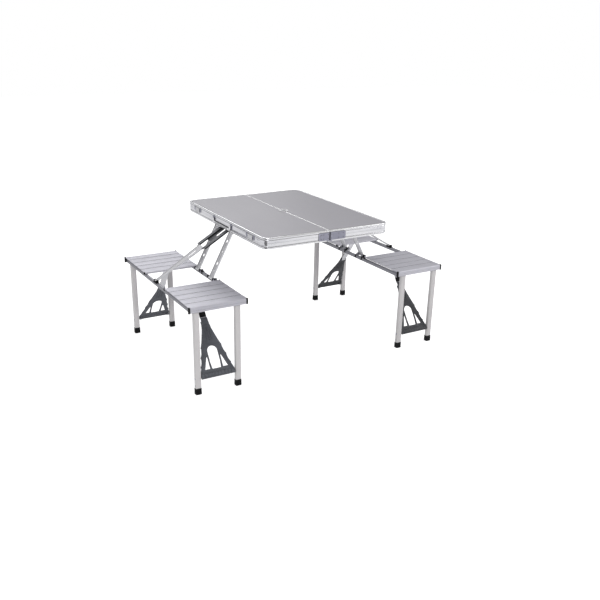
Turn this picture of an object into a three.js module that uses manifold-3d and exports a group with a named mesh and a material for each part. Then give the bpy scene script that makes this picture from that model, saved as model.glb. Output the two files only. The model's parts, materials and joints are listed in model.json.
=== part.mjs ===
// Folding aluminium picnic table: a two-part case that opens into a table top, with a two-seat bench
// hung from each half. Millimetres, +Z up, X across the two halves, Y along the centre seam.
// The origin is on the floor, under the middle of the table top. Everything is shown set up for use.

import * as THREE from "three";
import { mergeVertices } from "three/addons/utils/BufferGeometryUtils.js";
import Module from "manifold-3d";

const wasm = await Module();
wasm.setup();

// Driving dimensions of the case halves.
const TOP_Z = 668;
const CASE_DEPTH = 50;
const HALF_WIDTH = 330;
const HALF_LENGTH = 421;
const CORNER_RADIUS = 42;
const WALL = 3.5;
const GAP = 0.3;
const RIM_Z = TOP_Z - CASE_DEPTH;
const PANEL_THICKNESS = 3;
const PANEL_RECESS = 1;
const RING_HOLE_RADIUS = 16;
const RING_FLANGE_RADIUS = 23;
const RING_FLANGE_HEIGHT = 2;

// Driving dimensions of the benches.
const SEAT_TOP_Z = 412;
const SEAT_INNER_X = 409;
const SEAT_OUTER_X = 680;
const SEAT_INNER_Y = 127;
const SEAT_OUTER_Y = 414;
const DECK_THICKNESS = 3;
const SKIRT_BOTTOM_Z = 386;
const SKIRT_THICKNESS = 3;
const RAIL_INNER_X = 415;
const RAIL_OUTER_X = 669;
const RAIL_WIDTH = 12;
const RAIL_END_Y = 410;
const RAIL_TOP_Z = 402;
const TUBE_WALL = 2;
const SLATS = 5;
const GROOVE_WIDTH = 3;
const GROOVE_DEPTH = 1.2;

// Driving dimensions of the legs and of their folding braces.
const LEG_INNER_X = 452;
const LEG_OUTER_X = 646;
const LEG_HINGE_Y = 399;
const LEG_HINGE_Z = 391;
const LEG_WIDTH = 26;
const LEG_DEPTH = 20;
const FOOT_WIDTH = 28;
const FOOT_DEPTH = 24;
const FOOT_HEIGHT = 30;
const BRACE_BASE_Z = 75;
const BRACE_TOP_Y = 180;
const BRACE_THICKNESS = 10;
const BRACE_BASE_HALF = 80;
const BRACE_TIP_HALF = 17;
const LINK_HALF = 16;

// Driving dimensions of the struts, the main arms and the stays under the table top.
const STRUT_TOP = { x: 305, z: 646 };
const STRUT_FOOT = { x: 430, z: 407 };
const STRUT_Y = 77;
const STRUT_WIDTH = 36;
const STRUT_PIN_RADIUS = 3;
const STRUT_BORE_RADIUS = 3.4;
const STRUT_HUB_RADIUS = 4.8;
const STRUT_FLANGE_HALF = 3;
const STRUT_LUG_THICKNESS = 5;
const ARM_FOOT = { x: RAIL_OUTER_X, z: 408 };
const ARM_FOOT_HALF = 7;
const ARM_THICKNESS = 7;
const ARM_OVERHANG = 8;
const STAY_TOP = { x: 262, z: 647 };
const STAY_LENGTH = 212;
const STAY_Y = 27;
const STAY_THICKNESS = 5;
const BRACKET_THICKNESS = 3;
const ROUND_SEGMENTS = 16;

// Fittings on the outside of the case.
const LATCH_Y = 288;
const SEAM_PLATE_THICKNESS = 2.5;
const HANDLE_HALF_GRIP = 86;
const HANDLE_HALF_LENGTH = 98;
const HANDLE_THICKNESS = 9;

const finish = (name, color, roughness, metalness) =>
  new THREE.MeshStandardMaterial({ name, color, roughness, metalness });
const brightAluminium = () => finish("bright_aluminium", 0xd4d6dc, 0.35, 0.85);
const seatAluminium = () => finish("seat_aluminium", 0xb9b9c2, 0.4, 0.8);
const legEnamel = () => finish("leg_enamel", 0xd9d6d4, 0.5, 0.3);
const topLaminate = () => finish("top_laminate", 0xa9a8ad, 0.55, 0.1);
const greyPlastic = () => finish("grey_plastic", 0x4b4d54, 0.6, 0);
const blackPlastic = () => finish("black_plastic", 0x17181a, 0.6, 0);
const zincSteel = () => finish("zinc_steel", 0xa7a8b4, 0.4, 0.8);
const darkSteel = () => finish("dark_steel", 0x55575c, 0.45, 0.6);

// A closed three.js geometry as a manifold solid: only the positions are kept, and shared corners merge.
function solidOf(geometry) {
  const plain = geometry.index ? geometry.toNonIndexed() : geometry.clone();
  plain.deleteAttribute("normal");
  plain.deleteAttribute("uv");
  const merged = mergeVertices(plain, 1e-4);
  const vertProperties = merged.attributes.position.array;
  const triVerts = new Uint32Array(merged.index.array);
  return new wasm.Manifold(new wasm.Mesh({ numProp: 3, vertProperties, triVerts }));
}

// A manifold solid as a three.js geometry.
function geometryOf(solid) {
  const made = solid.getMesh();
  const geometry = new THREE.BufferGeometry();
  geometry.setAttribute("position", new THREE.BufferAttribute(made.vertProperties, made.numProp));
  geometry.setIndex(new THREE.BufferAttribute(made.triVerts, 1));
  geometry.computeVertexNormals();
  return geometry;
}

// A box between two values on each axis.
function block([x0, x1], [y0, y1], [z0, z1]) {
  const geometry = new THREE.BoxGeometry(x1 - x0, y1 - y0, z1 - z0);
  geometry.translate((x0 + x1) / 2, (y0 + y1) / 2, (z0 + z1) / 2);
  return solidOf(geometry);
}

// A round bar from a to b along one axis, with its centre line at the two other coordinates.
function bar(axis, [a, b], u, v, radius) {
  const geometry = new THREE.CylinderGeometry(radius, radius, b - a, ROUND_SEGMENTS);
  const middle = (a + b) / 2;
  if (axis === "x") {
    geometry.rotateZ(-Math.PI / 2);
    geometry.translate(middle, u, v);
  }
  if (axis === "y") geometry.translate(u, middle, v);
  if (axis === "z") {
    geometry.rotateX(Math.PI / 2);
    geometry.translate(u, v, middle);
  }
  return solidOf(geometry);
}

// A flat outline in X and Y, extruded from one height to another.
function slab(shape, [z0, z1]) {
  const settings = { depth: z1 - z0, bevelEnabled: false, curveSegments: 6 };
  const geometry = new THREE.ExtrudeGeometry(shape, settings);
  geometry.translate(0, 0, z0);
  return solidOf(geometry);
}

function join(...solids) {
  return solids.reduce((whole, next) => whole.add(next));
}

function polygon(points) {
  return new THREE.Shape(points.map(([x, y]) => new THREE.Vector2(x, y)));
}

// The same range on both sides of zero, as two ranges.
const bothSides = ([a, b]) => [[a, b], [-b, -a]];

function piece(name, solid, material) {
  const mesh = new THREE.Mesh(geometryOf(solid), material);
  mesh.name = name;
  return mesh;
}

// A group whose own +X runs from one point of the XZ plane towards another.
function linkFrame(from, to, ...meshes) {
  const frame = new THREE.Group();
  frame.position.set(from.x, 0, from.z);
  frame.rotation.y = -Math.atan2(to.z - from.z, to.x - from.x);
  frame.add(...meshes);
  return frame;
}

const distance = (a, b) => Math.hypot(b.x - a.x, b.z - a.z);

// One half of the case, seen from above: square at the seam, with round corners at its outer edge.
function caseOutline(inset) {
  const seam = GAP + inset;
  const outer = HALF_WIDTH - inset;
  const end = HALF_LENGTH - inset;
  const radius = CORNER_RADIUS - inset;
  const shape = new THREE.Shape();
  shape.moveTo(seam, -end);
  shape.lineTo(outer - radius, -end);
  shape.absarc(outer - radius, -end + radius, radius, -Math.PI / 2, 0, false);
  shape.lineTo(outer, end - radius);
  shape.absarc(outer - radius, end - radius, radius, 0, Math.PI / 2, false);
  shape.lineTo(seam, end);
  return shape;
}

// The aluminium edge frame: a wall with a lip under the top panel, notched for the parasol ring.
function caseFrame(name) {
  const panelBottom = TOP_Z - PANEL_RECESS - PANEL_THICKNESS;
  const ledgeDepth = 3;
  const ledgeWidth = 6;
  const outer = slab(caseOutline(0), [RIM_Z, TOP_Z]);
  const opening = slab(caseOutline(WALL), [panelBottom - GAP, TOP_Z + 1]);
  const well = slab(caseOutline(WALL), [RIM_Z - 1, panelBottom - GAP - ledgeDepth]);
  const middle = slab(caseOutline(ledgeWidth), [RIM_Z - 1, TOP_Z]);
  const hole = bar("z", [RIM_Z - 1, TOP_Z + 1], 0, 0, RING_FLANGE_RADIUS + GAP);
  const solid = outer.subtract(opening).subtract(well).subtract(middle).subtract(hole);
  return piece(name, solid, brightAluminium());
}

function topPanel(name) {
  const top = TOP_Z - PANEL_RECESS;
  const panel = slab(caseOutline(WALL + GAP), [top - PANEL_THICKNESS, top]);
  const hole = bar("z", [RIM_Z, TOP_Z], 0, 0, RING_FLANGE_RADIUS + GAP);
  return piece(name, panel.subtract(hole), topLaminate());
}

// Half of the ring that lines the parasol hole.
function parasolRing(name) {
  const top = TOP_Z + RING_FLANGE_HEIGHT - PANEL_RECESS;
  const bottom = TOP_Z - PANEL_RECESS - PANEL_THICKNESS;
  const body = bar("z", [bottom, top], 0, 0, RING_FLANGE_RADIUS);
  const bore = bar("z", [bottom - 1, top + 1], 0, 0, RING_HOLE_RADIUS);
  const otherHalf = block([-RING_FLANGE_RADIUS - 1, GAP], [-50, 50], [bottom - 1, top + 1]);
  return piece(name, body.subtract(bore).subtract(otherHalf), greyPlastic());
}

// The shaft the struts turn on, with a lug at each end against the case wall.
function strutShaft(name) {
  const reach = STRUT_Y + STRUT_WIDTH / 2 + STRUT_LUG_THICKNESS + 3;
  const shaft = bar("y", [-reach, reach], STRUT_TOP.x, STRUT_TOP.z, STRUT_PIN_RADIUS);
  const across = [STRUT_TOP.x - 7, HALF_WIDTH - WALL - GAP];
  const heights = [STRUT_TOP.z - 6, STRUT_TOP.z + 6];
  const lugs = bothSides([reach - STRUT_LUG_THICKNESS, reach]).map((range) => block(across, range, heights));
  return piece(name, join(shaft, ...lugs), zincSteel());
}

// The bracket on the case wall that carries the two stays, cut away below for the strut shaft.
function stayBracket(name) {
  const inner = STAY_Y + STAY_THICKNESS / 2 + 0.8;
  const outer = inner + BRACKET_THICKNESS;
  const heights = [STAY_TOP.z - 4, STAY_TOP.z + 13];
  const wallSide = HALF_WIDTH - WALL - GAP;
  const plate = block([wallSide - BRACKET_THICKNESS, wallSide], [-outer, outer], heights);
  const arms = bothSides([inner, outer]).map((range) => block([STAY_TOP.x - 5, wallSide], range, heights));
  const notch = bar("y", [-outer - 1, outer + 1], STRUT_TOP.x, STRUT_TOP.z, STRUT_BORE_RADIUS);
  return piece(name, join(plate, ...arms).subtract(notch), zincSteel());
}

// A strut plate with a flange along each edge, bored at both ends and drilled in between.
function strut(name, side) {
  const length = distance(STRUT_TOP, STRUT_FOOT);
  const middle = side * STRUT_Y;
  const [low, high] = [middle - STRUT_WIDTH / 2, middle + STRUT_WIDTH / 2];
  const sheet = 2.4;
  const holeRadius = 6.5;
  const plate = block([0, length], [low, high], [-sheet / 2, sheet / 2]);
  const flanges = [
    block([0, length], [low, low + sheet], [-STRUT_FLANGE_HALF, STRUT_FLANGE_HALF]),
    block([0, length], [high - sheet, high], [-STRUT_FLANGE_HALF, STRUT_FLANGE_HALF]),
  ];
  const hubs = [0, length].map((x) => bar("y", [low, high], x, 0, STRUT_HUB_RADIUS));
  const bores = [0, length].map((x) => bar("y", [low - 1, high + 1], x, 0, STRUT_BORE_RADIUS));
  const holes = [0.3, 0.72].map((share) => bar("z", [-sheet, sheet], share * length, middle, holeRadius));
  const solid = join(plate, ...flanges, ...hubs);
  return piece(name, [...bores, ...holes].reduce((a, b) => a.subtract(b), solid), brightAluminium());
}

// One of the two flat dark stays on either side of the main arm.
function stay(name, side) {
  const width = [side * STAY_Y - STAY_THICKNESS / 2, side * STAY_Y + STAY_THICKNESS / 2];
  const halfDepth = 3.8;
  const blade = block([0, STAY_LENGTH], width, [-halfDepth, halfDepth]);
  const ends = [0, STAY_LENGTH].map((x) => bar("y", width, x, 0, halfDepth + 0.2));
  return piece(name, join(blade, ...ends), darkSteel());
}

// The main arm: narrow at the outer rail, and as wide as the space between the stays at its top.
function mainArm(name, length) {
  const wide = STAY_Y - STAY_THICKNESS / 2 - 0.5;
  const narrow = ARM_FOOT_HALF;
  const end = length + ARM_OVERHANG;
  const [bend, shoulder] = [length * 0.3, length * 0.78];
  const [windowStart, windowShoulder, windowEnd] = [length * 0.5, length * 0.8, length * 0.92];
  const outline = polygon([
    [0, -narrow], [bend, -narrow - 1], [shoulder, -wide], [end, -wide],
    [end, wide], [shoulder, wide], [bend, narrow + 1], [0, narrow],
  ]);
  const window = polygon([
    [windowStart, -5], [windowShoulder, -12], [windowEnd, -12],
    [windowEnd, 12], [windowShoulder, 12], [windowStart, 5],
  ]);
  const thickness = [-ARM_THICKNESS / 2, ARM_THICKNESS / 2];
  const plate = slab(outline, thickness).subtract(slab(window, [-ARM_THICKNESS, ARM_THICKNESS]));
  const hub = bar("y", [-narrow, narrow], 0, 0, ARM_THICKNESS / 2 + 0.7);
  return piece(name, join(plate, hub), brightAluminium());
}

// A square tube along Y, open at both ends.
function railTube(x) {
  const outer = [x - RAIL_WIDTH / 2, x + RAIL_WIDTH / 2];
  const inner = [outer[0] + TUBE_WALL, outer[1] - TUBE_WALL];
  const hollow = [SKIRT_BOTTOM_Z + TUBE_WALL, RAIL_TOP_Z - TUBE_WALL];
  const bore = block(inner, [-HALF_LENGTH, HALF_LENGTH], hollow);
  return block(outer, [-RAIL_END_Y, RAIL_END_Y], [SKIRT_BOTTOM_Z, RAIL_TOP_Z]).subtract(bore);
}

// The inner rail of a bench, with lugs on top that carry the pins the struts turn on.
function innerRail(name) {
  const near = STRUT_Y - STRUT_WIDTH / 2 - 1;
  const far = STRUT_Y + STRUT_WIDTH / 2 + 1;
  const lugThickness = 4;
  const across = [RAIL_INNER_X - RAIL_WIDTH / 2, STRUT_FOOT.x + 5];
  const heights = [RAIL_TOP_Z - 1, STRUT_FOOT.z + 5];
  const parts = [railTube(RAIL_INNER_X)];
  for (const range of [...bothSides([near - lugThickness, near]), ...bothSides([far, far + lugThickness])]) {
    parts.push(block(across, range, heights));
  }
  for (const range of bothSides([near - lugThickness, far + lugThickness])) {
    parts.push(bar("y", range, STRUT_FOOT.x, STRUT_FOOT.z, STRUT_PIN_RADIUS));
  }
  return piece(name, join(...parts), brightAluminium());
}

// The outer rail of a bench, with the two ears that hold the main arm.
function outerRail(name) {
  const ear = [ARM_FOOT_HALF + 0.5, ARM_FOOT_HALF + 0.5 + BRACKET_THICKNESS];
  const across = [ARM_FOOT.x - 5, ARM_FOOT.x + 5];
  const ears = bothSides(ear).map((range) => block(across, range, [RAIL_TOP_Z, ARM_FOOT.z + 4]));
  return piece(name, join(railTube(RAIL_OUTER_X), ...ears), brightAluminium());
}

// The two lugs and the pin under a seat that the brace link hangs on.
function linkMount() {
  const deckBottom = SEAT_TOP_Z - DECK_THICKNESS;
  const middleX = (LEG_INNER_X + LEG_OUTER_X) / 2;
  const near = LINK_HALF + 3;
  const far = near + 4;
  const along = [BRACE_TOP_Y - 6, BRACE_TOP_Y + 6];
  const lugs = bothSides([near, far]).map(([a, b]) =>
    block([middleX + a, middleX + b], along, [LEG_HINGE_Z - 5, deckBottom]),
  );
  const pin = bar("x", [middleX - far, middleX + far], BRACE_TOP_Y, LEG_HINGE_Z, 2.5);
  return join(...lugs, pin);
}

// The grooves between the slats, as solids to cut from the deck.
function slatGrooves() {
  const pitch = (SEAT_OUTER_Y - SEAT_INNER_Y) / SLATS;
  const across = [SEAT_INNER_X - 1, SEAT_OUTER_X + 1];
  const heights = [SEAT_TOP_Z - GROOVE_DEPTH, SEAT_TOP_Z + 1];
  const grooves = [];
  for (let i = 1; i < SLATS; i++) {
    const y = SEAT_INNER_Y + i * pitch;
    grooves.push(block(across, [y - GROOVE_WIDTH / 2, y + GROOVE_WIDTH / 2], heights));
  }
  return join(...grooves);
}

// A seat: a grooved deck, a deep skirt at its outer end, a shallow one at its inner end, and the link mount.
function seatDeck(name) {
  const across = [SEAT_INNER_X, SEAT_OUTER_X];
  const parts = [
    block(across, [SEAT_INNER_Y, SEAT_OUTER_Y], [SEAT_TOP_Z - DECK_THICKNESS, SEAT_TOP_Z]),
    block(across, [SEAT_OUTER_Y - SKIRT_THICKNESS, SEAT_OUTER_Y], [SKIRT_BOTTOM_Z, SEAT_TOP_Z]),
    block(across, [SEAT_INNER_Y, SEAT_INNER_Y + SKIRT_THICKNESS], [RAIL_TOP_Z + 1, SEAT_TOP_Z]),
    linkMount(),
  ];
  return piece(name, join(...parts).subtract(slatGrooves()), seatAluminium());
}

// The two legs of one seat, joined by the shaft they fold on, with a stub for the brace on each leg.
function legFrame(name) {
  const parts = [];
  const stub = 4;
  for (const x of [LEG_INNER_X, LEG_OUTER_X]) {
    const half = LEG_WIDTH / 2;
    const inward = x === LEG_INNER_X ? 1 : -1;
    const depth = [LEG_HINGE_Y - LEG_DEPTH / 2, LEG_HINGE_Y + LEG_DEPTH / 2];
    const bore = block(
      [x - half + TUBE_WALL, x + half - TUBE_WALL],
      [depth[0] + TUBE_WALL, depth[1] - TUBE_WALL],
      [FOOT_HEIGHT - 1, LEG_HINGE_Z - LEG_DEPTH / 2],
    );
    parts.push(block([x - half, x + half], depth, [FOOT_HEIGHT, LEG_HINGE_Z + 4]).subtract(bore));
    const face = x + inward * half;
    const reach = [face, face + inward * stub].sort((a, b) => a - b);
    parts.push(bar("x", reach, LEG_HINGE_Y, BRACE_BASE_Z, 4));
  }
  parts.push(bar("x", [LEG_INNER_X - 28, LEG_OUTER_X + 14], LEG_HINGE_Y, LEG_HINGE_Z, 4.5));
  return piece(name, join(...parts), legEnamel());
}

function foot(name, x) {
  const across = [x - FOOT_WIDTH / 2, x + FOOT_WIDTH / 2];
  const deep = [LEG_HINGE_Y - FOOT_DEPTH / 2, LEG_HINGE_Y + FOOT_DEPTH / 2];
  return piece(name, block(across, deep, [0, FOOT_HEIGHT - GAP]), blackPlastic());
}

// Lengths of the folding brace: it is straight when the leg stands, and folds flat on itself
// when the leg is stowed.
const braceSpan = Math.hypot(LEG_HINGE_Y - BRACE_TOP_Y, LEG_HINGE_Z - BRACE_BASE_Z);
const stowedBaseY = LEG_HINGE_Y - (LEG_HINGE_Z - BRACE_BASE_Z);
const PANEL_LENGTH = (braceSpan + BRACE_TOP_Y - stowedBaseY) / 2;
const LINK_LENGTH = braceSpan - PANEL_LENGTH;

// The three openings of a brace panel: a round-topped slot, and a smaller window on either side of it.
function braceOpenings() {
  const cutter = [-BRACE_THICKNESS - 1, 1];
  const slotHalf = 26;
  const slotFoot = 40;
  const slotTop = 120;
  const slot = new THREE.Shape();
  slot.moveTo(-slotHalf, slotFoot);
  slot.lineTo(slotHalf, slotFoot);
  slot.lineTo(slotHalf, slotTop);
  slot.absarc(0, slotTop, slotHalf, 0, Math.PI, false);
  const [near, far, shoulder] = [32, 62, 40];
  const [foot, head] = [34, 96];
  const rightWindow = polygon([[near, foot], [far, foot], [shoulder, head], [near, head]]);
  const leftWindow = polygon([[-far, foot], [-near, foot], [-near, head], [-shoulder, head]]);
  return join(...[slot, rightWindow, leftWindow].map((shape) => slab(shape, cutter)));
}

// The moulded triangular brace panel, with its own +Y from its base on the legs to its tip.
function bracePanel(name) {
  const tip = PANEL_LENGTH;
  const shoulder = tip - 5;
  const waist = { half: 48, y: tip * 0.55 };
  const [baseFoot, baseHead] = [-10, 12];
  const earThickness = 4;
  const outline = polygon([
    [-BRACE_BASE_HALF, baseFoot], [BRACE_BASE_HALF, baseFoot], [BRACE_BASE_HALF, baseHead],
    [waist.half, waist.y], [BRACE_TIP_HALF, shoulder], [-BRACE_TIP_HALF, shoulder],
    [-waist.half, waist.y], [-BRACE_BASE_HALF, baseHead],
  ]);
  const solid = slab(outline, [-BRACE_THICKNESS - GAP, -GAP]).subtract(braceOpenings());
  const ears = bothSides([BRACE_TIP_HALF - earThickness, BRACE_TIP_HALF]).map((range) =>
    block(range, [tip - 12, tip + 4], [-BRACE_THICKNESS - GAP, 3]),
  );
  return piece(name, join(solid, ...ears), greyPlastic());
}

// The bright link from the seat to the brace panel, with its own +Y from the seat to the panel.
function braceLink(name) {
  const neckHalf = BRACE_TIP_HALF - 4.5;
  const sheet = [GAP, 3];
  const neckStart = LINK_LENGTH - 15;
  const plate = block([-LINK_HALF, LINK_HALF], [6, neckStart + 1], sheet);
  const neck = block([-neckHalf, neckHalf], [neckStart, LINK_LENGTH], sheet);
  const knuckle = bar("x", [-neckHalf, neckHalf], LINK_LENGTH, 0, 3);
  const root = block([-LINK_HALF, LINK_HALF], [-5, 7], [-4, 5]);
  const bore = bar("x", [-LINK_HALF - 1, LINK_HALF + 1], 0, 0, 2.9);
  return piece(name, join(plate, neck, knuckle, root).subtract(bore), brightAluminium());
}

// A group whose own +Y runs in the YZ plane from one point to another.
function braceFrame(from, to, mesh) {
  const frame = new THREE.Group();
  frame.position.set((LEG_INNER_X + LEG_OUTER_X) / 2, from.y, from.z);
  frame.rotation.x = Math.atan2(to.z - from.z, to.y - from.y);
  frame.add(mesh);
  return frame;
}

// The seat at one end of a bench, with its legs, feet and folding brace.
function seat(name, end) {
  const group = new THREE.Group();
  group.scale.y = end;
  const base = { y: LEG_HINGE_Y, z: BRACE_BASE_Z };
  const top = { y: BRACE_TOP_Y, z: LEG_HINGE_Z };
  group.add(
    seatDeck(name + "_seat"),
    legFrame(name + "_legs"),
    foot(name + "_foot_inner", LEG_INNER_X),
    foot(name + "_foot_outer", LEG_OUTER_X),
    braceFrame(base, top, bracePanel(name + "_brace_panel")),
    braceFrame(top, base, braceLink(name + "_brace_link")),
  );
  return group;
}

// A hinge plate on the end wall at the seam, with a short tab below it.
function seamPlate(name, side, end) {
  const reach = side > 0 ? 84 : 59;
  const wall = HALF_LENGTH + GAP;
  const depth = [wall, wall + SEAM_PLATE_THICKNESS];
  const plate = block([1, reach], depth, [RIM_Z + 6, TOP_Z - 9]);
  const tab = block([1, 14], depth, [RIM_Z + 1, RIM_Z + 7]);
  const mesh = piece(name, join(plate, tab), zincSteel());
  mesh.scale.y = end;
  return mesh;
}

// A latch lever on the long outer wall of the case.
function latch(name, middle) {
  const wall = HALF_WIDTH + GAP;
  const halfLength = 26;
  const along = [middle - halfLength, middle + halfLength];
  return piece(name, block([wall, wall + 3], along, [RIM_Z + 16, TOP_Z - 12]), zincSteel());
}

// The hook plate that the latch lever closes on.
function latchCatch(name, middle) {
  const wall = HALF_WIDTH + GAP;
  const [plateHalf, hookHalf] = [18, 12];
  const plate = block([wall, wall + 2], [middle - plateHalf, middle + plateHalf], [RIM_Z + 4, RIM_Z + 26]);
  const hook = block([wall, wall + 5], [middle - hookHalf, middle + hookHalf], [RIM_Z + 18, RIM_Z + 22]);
  return piece(name, join(plate, hook), zincSteel());
}

// The carrying handle: a flat grip between two arms that turn on pins at the wall.
function carryHandle(name) {
  const wall = HALF_WIDTH + GAP + 1;
  const across = [wall, wall + HANDLE_THICKNESS];
  const foot = RIM_Z + 6;
  const grip = block(across, [-HANDLE_HALF_GRIP, HANDLE_HALF_GRIP], [foot, foot + 12]);
  const arms = bothSides([HANDLE_HALF_GRIP, HANDLE_HALF_LENGTH]).map((range) =>
    block(across, range, [foot, foot + 28]),
  );
  return piece(name, join(grip, ...arms), greyPlastic());
}

// Everything that belongs to one half of the case, built on the +X side.
function half(name, side) {
  const group = new THREE.Group();
  group.scale.x = side;
  const stayDirection = Math.atan2(STAY_TOP.z - ARM_FOOT.z, STAY_TOP.x - ARM_FOOT.x);
  const armLength = distance(ARM_FOOT, STAY_TOP) - STAY_LENGTH;
  const knee = {
    x: ARM_FOOT.x + armLength * Math.cos(stayDirection),
    z: ARM_FOOT.z + armLength * Math.sin(stayDirection),
  };
  group.add(
    caseFrame(name + "_case_frame"),
    topPanel(name + "_top_panel"),
    parasolRing(name + "_parasol_ring"),
    strutShaft(name + "_strut_shaft"),
    stayBracket(name + "_stay_bracket"),
    seamPlate(name + "_front_seam_plate", side, -1),
    seamPlate(name + "_back_seam_plate", side, 1),
    linkFrame(STRUT_TOP, STRUT_FOOT, strut(name + "_front_strut", -1), strut(name + "_back_strut", 1)),
    linkFrame(STAY_TOP, knee, stay(name + "_front_stay", -1), stay(name + "_back_stay", 1)),
    linkFrame(ARM_FOOT, knee, mainArm(name + "_main_arm", armLength)),
    innerRail(name + "_inner_rail"),
    outerRail(name + "_outer_rail"),
    seat(name + "_front", -1),
    seat(name + "_back", 1),
  );
  return group;
}

const table = new THREE.Group();
table.name = "picnic_table";
const left = half("left", -1);
const right = half("right", 1);
left.add(carryHandle("carry_handle"), latch("front_latch", -LATCH_Y), latch("back_latch", LATCH_Y));
right.add(latchCatch("front_catch", -LATCH_Y), latchCatch("back_catch", LATCH_Y));
table.add(left, right);

export default table;
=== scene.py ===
import json
from math import copysign, cos, hypot, pi, radians, sin

import bmesh
import bpy
from mathutils import Matrix, Vector


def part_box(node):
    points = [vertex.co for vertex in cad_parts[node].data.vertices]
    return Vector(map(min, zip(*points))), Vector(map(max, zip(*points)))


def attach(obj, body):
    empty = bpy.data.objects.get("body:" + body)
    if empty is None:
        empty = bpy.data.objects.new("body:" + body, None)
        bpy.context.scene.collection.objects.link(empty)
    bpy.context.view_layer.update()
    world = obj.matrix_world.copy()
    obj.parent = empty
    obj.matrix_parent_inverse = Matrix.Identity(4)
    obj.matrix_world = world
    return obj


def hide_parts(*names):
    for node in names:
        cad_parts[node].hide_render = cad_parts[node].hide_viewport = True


# Looks for the folding picnic table. Everything is in metres, in the frame's own axes:
# X across the two case halves, Y along the seam, Z up from the floor.

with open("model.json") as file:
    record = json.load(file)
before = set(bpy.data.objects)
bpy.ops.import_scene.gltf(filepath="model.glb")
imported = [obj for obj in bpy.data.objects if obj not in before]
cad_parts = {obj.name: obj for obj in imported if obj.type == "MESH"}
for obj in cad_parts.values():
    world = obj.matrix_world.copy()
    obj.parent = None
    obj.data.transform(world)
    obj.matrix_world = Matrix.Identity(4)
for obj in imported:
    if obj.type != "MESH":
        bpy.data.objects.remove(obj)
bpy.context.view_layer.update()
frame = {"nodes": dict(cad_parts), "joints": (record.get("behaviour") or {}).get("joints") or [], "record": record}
SCENE = bpy.context.scene
MM = 0.001
SIDES = (("left", -1), ("right", 1))
ENDS = (("front", -1), ("back", 1))

CASE_CORNER = 42 * MM
CASE_WALL = 3.5 * MM
PANEL_RIB_PLACES = (95 * MM, 205 * MM)
RAIL_MIDDLES = {"inner_rail": 415 * MM, "outer_rail": 669 * MM}
RAIL_HALF = 6 * MM
RAIL_LOW = 386 * MM
RAIL_TOP = 402 * MM
LUG_TOP = 412 * MM
STRUT_HUB = 4.8 * MM
STAY_LENGTH = 212 * MM
SEAT_SLATS = 5
BRACE_PIN_Z = 75 * MM
LIGHTS_AIM_AT = Vector((0, 0, 0.4))


def into_scene(name, data):
    """A new object that holds the data, linked into the scene."""
    obj = bpy.data.objects.new(name, data)
    SCENE.collection.objects.link(obj)
    return obj


def soften(obj, width, angle=40):
    """Rounds the edges of an object that turn by more than the angle, in degrees."""
    edge = obj.modifiers.new("edge", "BEVEL")
    edge.width = width
    edge.segments = 2
    edge.limit_method = "ANGLE"
    edge.angle_limit = radians(angle)


# ---------------- materials

def new_material(name, metallic=0.0, roughness=0.5):
    """A procedural material to build on, with its node tree, its shader and its object coordinates."""
    material = bpy.data.materials.new(name)
    material.use_nodes = True
    tree = material.node_tree
    shader = tree.nodes["Principled BSDF"]
    shader.inputs["Metallic"].default_value = metallic
    shader.inputs["Roughness"].default_value = roughness
    coords = tree.nodes.new("ShaderNodeTexCoord")
    return material, tree, shader, coords.outputs["Object"]


def noise(tree, source, scale, detail=4.0, stretch=(1, 1, 1)):
    """A noise texture; stretch multiplies the coordinates, so a small value draws it out along that axis."""
    mapping = tree.nodes.new("ShaderNodeMapping")
    mapping.inputs["Scale"].default_value = stretch
    tree.links.new(source, mapping.inputs["Vector"])
    node = tree.nodes.new("ShaderNodeTexNoise")
    node.inputs["Scale"].default_value = scale
    node.inputs["Detail"].default_value = detail
    tree.links.new(mapping.outputs["Vector"], node.inputs["Vector"])
    return node.outputs["Fac"]


def ramp(tree, source, low, high, start=0.3, end=0.7):
    """Maps a value to a colour, or to a grey if low and high are numbers."""
    node = tree.nodes.new("ShaderNodeValToRGB")
    node.color_ramp.elements[0].position = start
    node.color_ramp.elements[1].position = end
    for element, value in zip(node.color_ramp.elements, (low, high)):
        rgb = value if isinstance(value, tuple) else (value, value, value)
        element.color = (*rgb, 1)
    tree.links.new(source, node.inputs["Fac"])
    return node.outputs["Color"]


def mix(tree, factor, a, b, kind="MIX"):
    """Blends two colours; the factor and the colours may be numbers or sockets."""
    node = tree.nodes.new("ShaderNodeMix")
    node.data_type = "RGBA"
    node.blend_type = kind
    for name, value in (("Factor", factor), ("A", a), ("B", b)):
        socket = node.inputs[name]
        if isinstance(value, bpy.types.NodeSocket):
            tree.links.new(value, socket)
        elif isinstance(value, tuple):
            socket.default_value = (*value, 1)
        else:
            socket.default_value = value
    return node.outputs["Result"]


def edge_wear(tree, start=0.52, end=0.62):
    """A mask that is bright on convex edges."""
    geometry = tree.nodes.new("ShaderNodeNewGeometry")
    return ramp(tree, geometry.outputs["Pointiness"], 0.0, 1.0, start, end)


def painted_crevice_shade(tree, colour):
    """Darkens a colour where the surface closes in on itself: painted shade in grooves and joints."""
    node = tree.nodes.new("ShaderNodeAmbientOcclusion")
    node.samples = 6
    node.inputs["Distance"].default_value = 6 * MM
    return mix(tree, 1.0, colour, ramp(tree, node.outputs["AO"], 0.3, 1.0, 0.35, 0.95), "MULTIPLY")


def bump(tree, shader, height, strength, distance):
    """Lets a height texture tilt the surface of a material."""
    node = tree.nodes.new("ShaderNodeBump")
    node.inputs["Strength"].default_value = strength
    node.inputs["Distance"].default_value = distance
    tree.links.new(height, node.inputs["Height"])
    tree.links.new(node.outputs["Normal"], shader.inputs["Normal"])


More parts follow.
